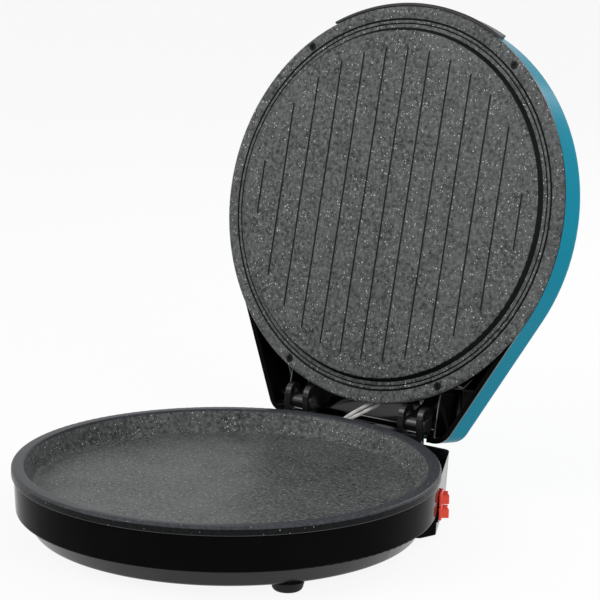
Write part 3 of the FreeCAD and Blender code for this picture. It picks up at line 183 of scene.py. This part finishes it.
# Dark grey moulded ABS of the tier below: satin gloss that shows the pale table.
tier_grey, tree, surface = begin("dark_grey_abs", {"IOR": 1.54, "Specular IOR Level": 0.25})
uneven(tree, surface, size=10.0, depth=0.015, rough=(0.20, 0.27), tones=("#1e1e1f", "#262627"), detail=1.0)

# Spark-eroded black ABS: a fine pebbled grain, drawn at 0.7 mm so that it shows.
matt_black, tree, surface = begin("grained_black_abs", {"IOR": 1.54, "Specular IOR Level": 0.3})
uneven(tree, surface, size=0.7, depth=0.05, rough=(0.42, 0.52), tones=("#0f0f10", "#161617"))

# Lacquered ABS: saturated teal, glossy, with faint orange peel drawn at 2.5 mm.
teal, tree, surface = begin("teal_lacquered_abs", {"IOR": 1.5, "Specular IOR Level": 0.015})
uneven(tree, surface, size=2.5, depth=0.006, rough=(0.16, 0.24), tones=("#04819a", "#05859e"), detail=1.0,
       drift=90.0)

# Glass-filled nylon of the hinge: black and semi-gloss, so its rounded edges catch the light.
hinge_black, tree, surface = begin("black_filled_nylon", {"IOR": 1.53, "Specular IOR Level": 0.4})
uneven(tree, surface, size=1.4, depth=0.02, rough=(0.20, 0.30), tones=("#141415", "#1d1d1e"))

# Blackened steel: the plate's sunken screws, dark with a dull sheen on their rims.
blackened, tree, surface = begin("blackened_steel", {"Metallic": 1.0})
uneven(tree, surface, size=1.0, depth=0.01, rough=(0.36, 0.48), tones=("#121212", "#1e1e1e"))

# Cast aluminium under a sprayed stone-look coating: mottled grey, satin, with pale clouds and pale flecks of
# two sizes.
CLOUD_SIZE = 34.0
CLOUD_SHARE = 0.3
coating, tree, surface = begin("speckled_nonstick_coating", {"IOR": 1.45, "Specular IOR Level": 0.15})
ground = uneven(tree, surface, size=0.9, depth=0.03, rough=(0.36, 0.48), tones=("#222424", "#676969"),
                drift=3.2)
place = add(tree, "ShaderNodeTexCoord").outputs["Object"]
cloud = add(tree, "ShaderNodeTexNoise", {"Vector": place, "Scale": per_metre(CLOUD_SIZE), "Detail": 3.0})
pale = add(tree, "ShaderNodeMapRange", {
    "Value": cloud.outputs["Fac"], "From Min": CLOUD_NOISE[0], "From Max": CLOUD_NOISE[1],
    "To Max": CLOUD_SHARE,
})
ground = add(tree, "ShaderNodeMix", {
    "Factor": pale.outputs["Result"], COLOUR_A: ground, COLOUR_B: linear("#6a6c6c"),
}, data_type="RGBA").outputs[COLOUR_OUT]
ground = fleck(tree, surface, ground, cell=1.6, radii=(0.20, 0.40), kept=0.75, tones=("#787b7a", "#b4b7b6"))
fleck(tree, surface, ground, cell=2.3, radii=(0.30, 0.60), kept=0.8, tones=("#a2a5a4", "#f0f1f0"))

# The same coating on the rim's side, with painted shade: darker and smoother, with a few flecks.
shaded_side_coating, tree, surface = begin("shaded_side_nonstick_coating", {"IOR": 1.45, "Specular IOR Level": 0.1})
ground = uneven(tree, surface, size=0.9, depth=0.02, rough=(0.24, 0.34), tones=("#0c0d0e", "#161718"),
                drift=3.0)
fleck(tree, surface, ground, cell=3.0, radii=(0.30, 0.50), kept=0.5, tones=("#606366", "#a6a9aa"))

# The same coating on top of the lower rim: dark and smooth, with a few flecks.
rim_coating, tree, surface = begin("rim_nonstick_coating", {"IOR": 1.45, "Specular IOR Level": 0.1})
ground = uneven(tree, surface, size=0.9, depth=0.02, rough=(0.30, 0.42), tones=("#323438", "#46484c"),
                drift=3.0)
fleck(tree, surface, ground, cell=3.0, radii=(0.30, 0.50), kept=0.5, tones=("#606366", "#a6a9aa"))

# Painted shade on the coating in the ring lines and under the raised edge: darkest, smooth, without flecks.
painted_shade_coating, tree, surface = begin("painted_shade_nonstick_coating", {"IOR": 1.45, "Specular IOR Level": 0.1})
uneven(tree, surface, size=0.9, depth=0.02, rough=(0.45, 0.55), tones=("#0b0c0c", "#121313"))

# The same coating in the straight grooves, darkened as painted shade, with hardly a fleck.
groove_shade_coating, tree, surface = begin("groove_shade_nonstick_coating", {"IOR": 1.45, "Specular IOR Level": 0.3})
ground = uneven(tree, surface, size=0.9, depth=0.02, rough=(0.40, 0.50), tones=("#1e2020", "#343636"),
                drift=3.0)
fleck(tree, surface, ground, cell=2.6, radii=(0.25, 0.40), kept=0.3, tones=("#606362", "#8c8f8e"))

# Bare aluminium on the lower plate's lower edge, a painted highlight line: dulled, with a fine chatter.
highlight_metal, tree, surface = begin("highlight_line_aluminium", {"Metallic": 1.0})
uneven(tree, surface, size=0.6, depth=0.01, rough=(0.34, 0.46), tones=("#4c4d4f", "#6a6b6d"))

# Zinc-plated steel: bright, a little hazy from tumbling.
plated, tree, surface = begin("zinc_plated_steel", {"Metallic": 1.0})
uneven(tree, surface, size=1.2, depth=0.01, rough=(0.24, 0.36), tones=("#b9b8b3", "#cfcecb"))

# Sheathed heater tube: stainless steel browned by heat.
browned, tree, surface = begin("heat_browned_steel", {"Metallic": 1.0})
uneven(tree, surface, size=2.0, depth=0.02, rough=(0.38, 0.52), tones=("#4c453d", "#6a6258"))

# Rolled aluminium sheet: bright, with a soft haze.
sheet_metal, tree, surface = begin("rolled_aluminium", {"Metallic": 1.0})
uneven(tree, surface, size=1.6, depth=0.008, rough=(0.22, 0.34), tones=("#c6c7c8", "#d9dadb"))

# Nickel-plated brass of the fuse can: warm and bright, with a faint drawn texture.
nickel, tree, surface = begin("nickel_plated_brass", {"Metallic": 1.0})
uneven(tree, surface, size=1.2, depth=0.006, rough=(0.20, 0.30), tones=("#b7b1a4", "#c9c3b6"))

# Phenolic moulding: dark brown, dull, with a trace of filler.
phenolic, tree, surface = begin("phenolic_moulding", {"IOR": 1.6, "Specular IOR Level": 0.4})
uneven(tree, surface, size=0.8, depth=0.02, rough=(0.45, 0.58), tones=("#241c17", "#33281f"))

# Moulded rubber: black, dry and slightly bloomed.
rubber, tree, surface = begin("black_rubber", {"IOR": 1.52, "Specular IOR Level": 0.25})
uneven(tree, surface, size=0.8, depth=0.03, rough=(0.62, 0.76), tones=("#131313", "#1c1c1c"))

# Tinted polycarbonate: bright signal red, glossy.
red, tree, surface = begin("red_polycarbonate", {"IOR": 1.58, "Specular IOR Level": 0.25})
uneven(tree, surface, size=6.0, depth=0.004, rough=(0.14, 0.22), tones=("#ec4630", "#f8543d"), detail=1.0)

# Nylon of the terminal block: warm white, waxy.
nylon, tree, surface = begin("white_nylon", {"IOR": 1.53})
uneven(tree, surface, size=1.5, depth=0.015, rough=(0.36, 0.48), tones=("#dedacd", "#e9e6dc"))

# Silicone wire insulation: soft white with a dull skin.
silicone, tree, surface = begin("white_silicone", {"IOR": 1.42})
uneven(tree, surface, size=0.9, depth=0.01, rough=(0.45, 0.6), tones=("#cfccc4", "#dcdad3"))

# Varnished glass-fibre sleeve: off-white strands that wind both ways round the wire and cross each other.
# The sleeve has 16 finer strands each way; 6 are drawn, so that they show.
STRANDS = 6
STRAND_TURNS = 14
STRAND_HEIGHT = 0.2
braid, tree, surface = begin("glass_fibre_sleeve", {
    "IOR": 1.5, "Specular IOR Level": 0.35, "Roughness": 0.58,
})
wound = add(tree, "ShaderNodeSeparateXYZ", {"Vector": add(tree, "ShaderNodeTexCoord").outputs["UV"]}).outputs
along = add(tree, "ShaderNodeMath", {0: wound["Y"], 1: 2 * math.pi * STRANDS * STRAND_TURNS},
            operation="MULTIPLY").outputs["Value"]
strands = []
for way in (-1, 1):
    angle = add(tree, "ShaderNodeMath", {0: wound["X"], 1: way * 2 * math.pi * STRANDS, 2: along},
                operation="MULTIPLY_ADD").outputs["Value"]
    strands.append(add(tree, "ShaderNodeMath", {0: angle}, operation="SINE").outputs["Value"])
weave = add(tree, "ShaderNodeMath", {0: strands[0], 1: strands[1]}, operation="MAXIMUM").outputs["Value"]
raised = add(tree, "ShaderNodeMapRange", {"Value": weave, "From Min": -1.0}).outputs["Result"]
relief = add(tree, "ShaderNodeBump", {"Height": raised, "Distance": STRAND_HEIGHT * MM}).outputs["Normal"]
# Painted shade: the weave is darker in the hollows between strands and lighter on their crowns.
shade = add(tree, "ShaderNodeMix", {
    "Factor": raised, COLOUR_A: linear("#d2cfc8"), COLOUR_B: linear("#faf9f6"),
}, data_type="RGBA").outputs[COLOUR_OUT]
tree.links.new(shade, surface.inputs["Base Color"])
tree.links.new(relief, surface.inputs["Normal"])

finishes = {
    gloss_black: ("base_shell",),
    liner_black: ("lid_liner",),
    tier_grey: ("bottom_cover",),
    matt_black: ("rear_cover", "front_grip", "mains_gland", "cord_clamp", "lead_clamp"),
    hinge_black: ("hinge_post_left", "hinge_post_right", "hinge_arm_left", "hinge_arm_right"),
    blackened: ("upper_plate_screws",),
    teal: ("lid_shell",),
    coating: ("lower_plate", "upper_plate"),
    browned: ("lower_heater", "upper_heater"),
    plated: ("lower_heater_clips", "upper_heater_clips", "lower_plate_screws", "bottom_cover_screws",
             "rear_cover_screws", "foot_screws", "cord_clamp_screws", "hinge_post_screws", "hinge_pin_left",
             "hinge_pin_right", "hinge_clips", "upper_reflector_screws", "grip_nuts",
             "hinge_arm_screws"),
    sheet_metal: ("lower_reflector", "upper_reflector"),
    nickel: ("thermal_fuse",),
    phenolic: ("lower_thermostat", "upper_thermostat"),
    rubber: ("front_left_foot", "front_right_foot", "rear_left_foot", "rear_right_foot", "lead_grommet"),
    red: ("lower_switch_body", "upper_switch_body", "lower_rocker", "upper_rocker"),
    nylon: ("terminal_block",),
    silicone: ("base_wires",),
    braid: ("lid_leads",),
}
for finish, names in finishes.items():
    for name in names:
        nodes[name].data.materials.clear()
        nodes[name].data.materials.append(finish)


# Pieces

# Points closer than WELD are one, and points within TOUCH of a surface lie on it.
WELD = 0.002
TOUCH = 0.1

# Faces that turn by less than FLAT are joined. An edge that turns by more than CREASE is shaded sharp, and
# one that turns by more than CORNER is rounded.
FLAT = math.radians(1.0)
CREASE = math.radians(35.0)
CORNER = math.radians(50.0)


def bring(name, bm, coats, node):
    """Makes a piece of a bmesh in place of a CAD node, with large faces kept flat in its shading."""
    mesh = bpy.data.meshes.new(name)
    bm.to_mesh(mesh)
    bm.free()
    for coat in coats:
        mesh.materials.append(coat)
    mesh.shade_smooth()
    mesh.set_sharp_from_angle(angle=CREASE)
    piece = bpy.data.objects.new(name, mesh)
    scene.collection.objects.link(piece)
    shading = piece.modifiers.new("even_shading", "WEIGHTED_NORMAL")
    shading.keep_sharp = True
    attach(piece, body_of[node])
    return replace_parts(piece, node)


def merged(node):
    """A bmesh of a CAD node with its loose triangles joined."""
    bm = bmesh.new()
    bm.from_mesh(nodes[node].data)
    bmesh.ops.remove_doubles(bm, verts=bm.verts, dist=WELD * MM)
    return bm


def round_off(bm, edges, width):
    """Rounds edges and gives the new faces."""
    made = bmesh.ops.bevel(bm, geom=edges, offset=width * MM, offset_type="OFFSET", segments=2, profile=0.5,
                           affect="EDGES", clamp_overlap=True, material=-1)
    return made["faces"]


def eased(node, width):
    """A merged copy of a CAD node whose sharp edges are rounded."""
    bm = merged(node)
    bmesh.ops.dissolve_limit(bm, angle_limit=FLAT, verts=bm.verts, edges=bm.edges)
    sharp = [edge for edge in bm.edges if edge.is_manifold and edge.calc_face_angle() > CORNER]
    round_off(bm, sharp, width)
    return bm


def from_axis(spot):
    """Distance in mm from the pan's upright axis."""
    return math.hypot(spot.x / MM, spot.y / MM - pan_y)


def on_side(spots):
    """True where all the spots lie on the plates' outermost round face."""
    return all(from_axis(spot) > plate_radius - TOUCH for spot in spots)


# The lid's pieces are measured as they lie when it is closed, round the same upright axis as the pan's.
to_closed = Matrix.Translation(hinge) @ Matrix.Rotation(closing_angle, 4, "X") @ Matrix.Translation(-hinge)

# Upper plate: painted shade in its ring lines, beside the raised face, in the grooves and on its side.
# Each band is given by how far it lies out from the raised face's edge, and how far above that face.
FACE_INSET = 22.0
face_radius = plate_radius - FACE_INSET
GROOVES = ((-face_radius, -1.0), (0.1, 1.7))
RING_LINES = ((5.0, 12.0), (5.0, 6.5))
RAISED_EDGE = ((-0.1, 3.2), (0.5, 4.7))
upper_coats = (coating, painted_shade_coating, groove_shade_coating, shaded_side_coating)


def lies_in(band, out, up):
    """True where a spot this far out and up lies in a band."""
    (inner, outer), (low, high) = band
    return inner < out < outer and low < up < high


bm = merged("upper_plate")
face_z = min((to_closed @ v.co).z for v in bm.verts) / MM
for face in bm.faces:
    spot = to_closed @ face.calc_center_median()
    out = from_axis(spot) - face_radius
    up = spot.z / MM - face_z
    coat = coating
    if on_side(to_closed @ v.co for v in face.verts):
        coat = shaded_side_coating
    elif lies_in(GROOVES, out, up):
        coat = groove_shade_coating
    elif lies_in(RING_LINES, out, up) or lies_in(RAISED_EDGE, out, up):
        coat = painted_shade_coating
    face.material_index = upper_coats.index(coat)
bring("coated_upper_plate", bm, upper_coats, "upper_plate")

# Lid liner: its rim is polished like the base, and the hollow mirrors what is in it.
liner_coats = (liner_black, gloss_black)
bm = merged("lid_liner")
liner_z = min((to_closed @ v.co).z for v in bm.verts) / MM
for face in bm.faces:
    on_rim = all((to_closed @ v.co).z / MM < liner_z + TOUCH for v in face.verts)
    face.material_index = liner_coats.index(gloss_black if on_rim else liner_black)
bring("rimmed_lid_liner", bm, liner_coats, "lid_liner")

# Lower plate: the rim's rounded top is darker than the pan, its side darker still with painted shade,
# and its lower edge carries a painted highlight line of bare aluminium.
RIM_SIDE = 7.3
RIM_ROUND = 2.5
HIGHLIGHT_EDGE = 0.5
edge_z = rim_z - RIM_SIDE
top_z = rim_z - RIM_ROUND - TOUCH
lower_coats = (coating, shaded_side_coating, highlight_metal, rim_coating)
bm = merged("lower_plate")
highlight_edges = [edge for edge in bm.edges if on_side(v.co for v in edge.verts)
                and all(abs(v.co.z / MM - edge_z) < TOUCH for v in edge.verts)]
for face in bm.faces:
    coat = coating
    if on_side(v.co for v in face.verts):
        coat = shaded_side_coating
    elif all(v.co.z / MM > top_z for v in face.verts):
        coat = rim_coating
    face.material_index = lower_coats.index(coat)
# Painted highlight: the lower edge is rounded into a thin strip of bright bare metal.
for face in round_off(bm, highlight_edges, HIGHLIGHT_EDGE):
    face.material_index = lower_coats.index(highlight_metal)
bring("coated_lower_plate", bm, lower_coats, "lower_plate")

# Hinge and switches: moulded edges that catch the light, each rounded to its own width.
EDGE_WIDTHS = {
    "hinge_post_left": 0.8,
    "hinge_arm_left": 0.6,
    "hinge_post_right": 0.8,
    "hinge_arm_right": 0.6,
    "lower_switch_body": 0.4,
    "lower_rocker": 0.6,
    "upper_switch_body": 0.4,
    "upper_rocker": 0.6,
}
for node, width in EDGE_WIDTHS.items():
    bring(f"eased_{node}", eased(node, width), nodes[node].data.materials, node)

# Leads: two sleeved wires from the outlet on the base, across the hinge line, to the heater in the lid.
# Each point of the route has its place midway between the two, how far each lies to its side of that place,
# and how far the left one lies above it and the right one below.
LEAD_ROUTE = (
    ((-17.0, 117.15, 38.60), 1.75, 0.0),
    ((-17.0, 117.15, 51.50), 1.75, 0.0),
    ((-0.5, 125.20, 63.50), 1.75, 1.4),
    ((19.0, 133.30, 75.50), 1.75, 1.4),
    ((28.0, 148.14, 102.42), 1.75, 0.0),
    ((30.0, 157.14, 141.40), 1.75, 0.0),
    ((0.0, 166.65, 182.60), 8.71, 0.0),
    ((0.0, 149.60, 186.54), 8.71, 0.0),
)
LEAD_RADIUS = 1.5
LEAD_STEPS = 16
LEAD_ROUNDNESS = 6


def sleeve(name, route):
    """A mesh tube along the smooth line of a route, with a UV map round it and along it."""
    line = bpy.data.curves.new(name, "CURVE")
    line.dimensions = "3D"
    line.resolution_u = LEAD_STEPS
    line.bevel_depth = LEAD_RADIUS * MM
    line.bevel_resolution = LEAD_ROUNDNESS
    line.use_fill_caps = True
    spline = line.splines.new("NURBS")
    spline.points.add(len(route) - 1)
    for point, place in zip(spline.points, route):
        point.co = (*place, 1.0)
    spline.order_u = 3
    spline.use_endpoint_u = True
    guide = bpy.data.objects.new(name, line)
    scene.collection.objects.link(guide)
    bpy.context.view_layer.update()
    mesh = bpy.data.meshes.new_from_object(guide.evaluated_get(bpy.context.evaluated_depsgraph_get()))
    bpy.data.objects.remove(guide)
    mesh.name = name
    mesh.materials.clear()
    mesh.materials.append(braid)
    mesh.shade_smooth()
    return mesh


for name, side in (("lid_lead_left", -1), ("lid_lead_right", 1)):
    route = [Vector((x + side * spread, y, z - side * rise)) * MM for (x, y, z), spread, rise in LEAD_ROUTE]
    lead = bpy.data.objects.new(name, sleeve(name, route))
    scene.collection.objects.link(lead)
    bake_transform(lead)
    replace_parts(lead, "lid_leads")


# Floor, world, lamps and camera, in metres

# The table's half side, and the share of it that is plain white to the camera; the rest shows the shadow.
TABLE_REACH = 6.0
TABLE_WHITE_SHARE = 0.9

# The world's light on the object, where 1 is white.
STUDIO_LIGHT = 0.45

# Each lamp's name, place, size and power in watts, and the place that all of them point at.
LAMPS = (
    ("key_lamp", (-0.9, -1.6, 1.5), 1.2, 22.0),
    ("fill_lamp", (1.6, -0.6, 1.0), 1.0, 10.0),
    ("rim_lamp", (0.4, 1.7, 1.2), 1.0, 16.0),
)
LAMP_TARGET = Vector((0.0, 0.0, 0.2))


def seen_directly(tree):
    """1 for what the camera sees, by itself or in a reflection or through glass."""
    path = add(tree, "ShaderNodeLightPath").outputs
    mirrored = add(tree, "ShaderNodeMath", {0: path["Is Camera Ray"], 1: path["Is Glossy Ray"]},
                   operation="MAXIMUM")
    return add(tree, "ShaderNodeMath", {0: mirrored.outputs["Value"], 1: path["Is Transmission Ray"]},
               operation="MAXIMUM").outputs["Value"]


table = bpy.data.materials.new("pale_table")
table.use_nodes = True
tree = table.node_tree
tree.nodes.clear()
lit = add(tree, "ShaderNodeBsdfDiffuse", {"Color": linear("#f2f2f2")})
white = add(tree, "ShaderNodeEmission", {"Color": linear("#ffffff"), "Strength": 1.0})
much = add(tree, "ShaderNodeMath", {0: seen_directly(tree), 1: TABLE_WHITE_SHARE}, operation="MULTIPLY")
both = add(tree, "ShaderNodeMixShader", {0: much.outputs["Value"], 1: lit.outputs["BSDF"],
                                         2: white.outputs["Emission"]})
add(tree, "ShaderNodeOutputMaterial", {"Surface": both.outputs["Shader"]})

bm = bmesh.new()
bmesh.ops.create_grid(bm, x_segments=1, y_segments=1, size=TABLE_REACH)
mesh = bpy.data.meshes.new("table_top")
bm.to_mesh(mesh)
bm.free()
mesh.materials.append(table)
table_top = bpy.data.objects.new("table_top", mesh)
scene.collection.objects.link(table_top)

studio = bpy.data.worlds.new("studio")
studio.use_nodes = True
scene.world = studio
tree = studio.node_tree
tree.nodes.clear()
level = add(tree, "ShaderNodeMapRange", {"Value": seen_directly(tree), "To Min": STUDIO_LIGHT, "To Max": 1.0})
glow = add(tree, "ShaderNodeBackground", {"Color": linear("#ffffff"), "Strength": level.outputs["Result"]})
add(tree, "ShaderNodeOutputWorld", {"Surface": glow.outputs["Background"]})

for name, place, size, power in LAMPS:
    data = bpy.data.lights.new(name, "AREA")
    data.size = size
    data.energy = power
    lamp = bpy.data.objects.new(name, data)
    lamp.location = place
    aim = LAMP_TARGET - Vector(place)
    lamp.rotation_euler = aim.to_track_quat("-Z", "Y").to_euler()
    scene.collection.objects.link(lamp)

# The camera looks at a point that lies this high over the pan's axis and this far to the right of it.
VIEW_AZIMUTH = math.radians(36.46)
VIEW_ELEVATION = math.radians(12.12)
VIEW_ROLL = math.radians(0.98)
VIEW_DISTANCE = 1.79996
VIEW_HEIGHT = 0.19307
VIEW_SHIFT = 0.05627
right = Vector((math.cos(VIEW_AZIMUTH), math.sin(VIEW_AZIMUTH), 0.0))
back = Vector((math.sin(VIEW_AZIMUTH) * math.cos(VIEW_ELEVATION),
               -math.cos(VIEW_AZIMUTH) * math.cos(VIEW_ELEVATION), math.sin(VIEW_ELEVATION)))
target = Vector((0.0, pan_y * MM, VIEW_HEIGHT)) + right * VIEW_SHIFT
turn = (-back).to_track_quat("-Z", "Y").to_matrix().to_4x4() @ Matrix.Rotation(VIEW_ROLL, 4, "Z")
lens = bpy.data.cameras.new("photo_view")
lens.sensor_width = 36.0
lens.lens = 136.795
camera = bpy.data.objects.new("photo_view", lens)
camera.matrix_world = Matrix.Translation(target + back * VIEW_DISTANCE) @ turn
scene.collection.objects.link(camera)
scene.camera = camera
scene.view_settings.view_transform = "Standard"
